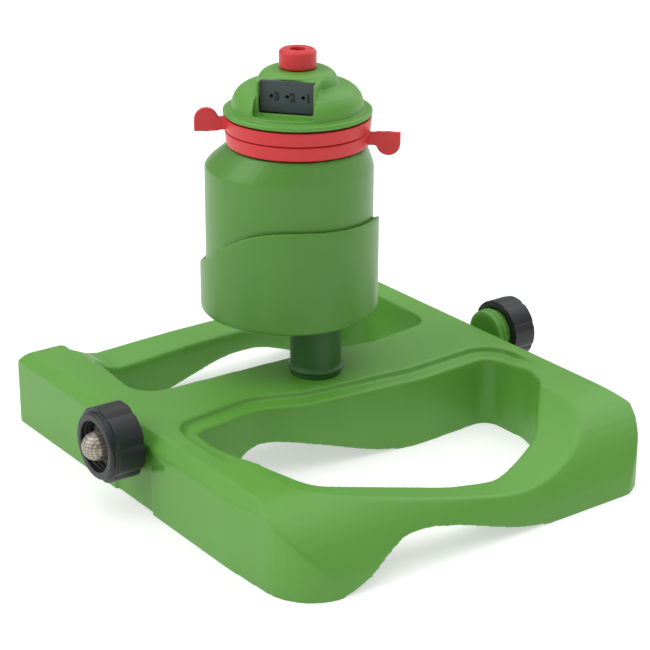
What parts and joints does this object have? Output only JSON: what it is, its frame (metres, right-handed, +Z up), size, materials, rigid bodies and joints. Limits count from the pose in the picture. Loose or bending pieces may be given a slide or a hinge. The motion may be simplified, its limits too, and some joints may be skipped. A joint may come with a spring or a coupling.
{
  "type": "garden sprinkler",
  "caption": "Gear-driven rotary garden sprinkler: open sled base, riser, offset gear housing, turning three-nozzle head and tabbed arc rings",
  "frame": {"origin": "on the ground, under the axis of the riser", "axes": "+Z up, +X along the hose line from the inlet to the outlet, +Y to the rear, so the nose is at -Y"},
  "size_m": [0.2916, 0.2695, 0.219],
  "materials": {
    "green_moulding": "satin moulded polypropylene",
    "dark_green_moulding": "satin moulded polypropylene",
    "red_moulding": "satin moulded acetal",
    "black_moulding": "fine matt moulded polypropylene",
    "grey_moulding": "matt moulded acetal",
    "white_acetal": "natural moulded acetal",
    "stainless_steel": "bright drawn",
    "woven_steel": "fine woven mesh",
    "seal_rubber": "smooth moulded rubber"
  },
  "bodies": {
    "frame": {"sled_base": "green_moulding", "water_pipe": "dark_green_moulding", "saddle_left": "green_moulding", "saddle_right": "green_moulding", "saddle_screws": "stainless_steel", "riser_post": "dark_green_moulding", "riser_seal": "seal_rubber", "coupling_clip": "stainless_steel", "housing_boot": "green_moulding", "housing_shell": "green_moulding", "housing_gasket": "seal_rubber", "housing_screws": "stainless_steel", "stator_plate": "white_acetal", "gearbox_base": "white_acetal", "gearbox_cover": "white_acetal", "gearbox_screws": "stainless_steel", "gear_pins": "stainless_steel", "stem_bushing": "white_acetal", "stem_seal": "seal_rubber", "trip_seal": "seal_rubber"},
    "coupling": {"inlet_coupling": "black_moulding", "inlet_washer": "seal_rubber", "inlet_filter": "woven_steel"},
    "cap_seal": {"cap_washer": "seal_rubber"},
    "cap": {"end_cap": "black_moulding"},
    "turbine": {"turbine_wheel": "white_acetal", "turbine_shaft": "stainless_steel", "turbine_pinion": "white_acetal"},
    "gear_1": {"gear_1": "white_acetal"},
    "gear_2": {"gear_2": "white_acetal"},
    "gear_3": {"gear_3": "white_acetal"},
    "head": {"output_stem": "white_acetal", "drive_gear": "white_acetal", "thrust_washer": "stainless_steel", "head_base": "green_moulding", "head_dome": "green_moulding", "head_screws": "stainless_steel", "nozzle_body": "grey_moulding", "nozzle_plate": "grey_moulding"},
    "selector": {"knob": "red_moulding", "selector_drum": "white_acetal"},
    "trip": {"trip_shaft": "stainless_steel", "trip_lever": "grey_moulding", "reversing_gate": "white_acetal", "toggle_spring": "stainless_steel"},
    "ring_upper": {"trip_ring_upper": "red_moulding"},
    "ring_lower": {"trip_ring_lower": "red_moulding"}
  },
  "joints": [
    {"name": "head_spin", "type": "hinge", "parent": "frame", "child": "head", "pos_m": [0, 0.017, 0.17], "axis": [0, 0, 1], "continuous": true},
    {"name": "turbine_spin", "type": "hinge", "parent": "frame", "child": "turbine", "pos_m": [-0.00648, 0.03961, 0.1], "axis": [0, 0, 1], "continuous": true},
    {"name": "gear_1_spin", "type": "hinge", "parent": "frame", "child": "gear_1", "pos_m": [0.01125, 0.03649, 0.112], "axis": [0, 0, 1], "continuous": true},
    {"name": "gear_2_spin", "type": "hinge", "parent": "frame", "child": "gear_2", "pos_m": [-0.00648, 0.03961, 0.118], "axis": [0, 0, 1], "continuous": true},
    {"name": "gear_3_spin", "type": "hinge", "parent": "frame", "child": "gear_3", "pos_m": [0.01125, 0.03649, 0.124], "axis": [0, 0, 1], "continuous": true},
    {"name": "knob_turn", "type": "hinge", "parent": "head", "child": "selector", "pos_m": [0, 0.017, 0.205], "axis": [0, 0, 1], "range_deg": [-21.3, 21.3]},
    {"name": "trip_toggle", "type": "hinge", "parent": "frame", "child": "trip", "pos_m": [-0.026, 0.017, 0.165], "axis": [0, 0, 1], "range_deg": [-14, 14]},
    {"name": "ring_upper_set", "type": "hinge", "parent": "head", "child": "ring_upper", "pos_m": [0, 0.017, 0.18], "axis": [0, 0, 1], "continuous": true},
    {"name": "ring_lower_set", "type": "hinge", "parent": "head", "child": "ring_lower", "pos_m": [0, 0.017, 0.172], "axis": [0, 0, 1], "continuous": true},
    {"name": "coupling_swivel", "type": "hinge", "parent": "frame", "child": "coupling", "pos_m": [-0.129, -0.003, 0.0375], "axis": [-1, 0, 0], "continuous": true},
    {"name": "cap_travel", "type": "slide", "parent": "frame", "child": "cap_seal", "axis": [1, 0, 0], "range_m": [0, 0.00665]},
    {"name": "cap_unscrew", "type": "hinge", "parent": "cap_seal", "child": "cap", "pos_m": [0.134, -0.003, 0.0375], "axis": [1, 0, 0], "range_deg": [0, 1080]}
  ],
  "couplings": [
    {"joint": "gear_3_spin", "follows": "head_spin", "ratio": -4},
    {"joint": "gear_2_spin", "follows": "head_spin", "ratio": 12},
    {"joint": "gear_1_spin", "follows": "head_spin", "ratio": -36},
    {"joint": "turbine_spin", "follows": "head_spin", "ratio": 108},
    {"joint": "cap_travel", "follows": "cap_unscrew", "m_per_rad": 0.00035173}
  ]
}
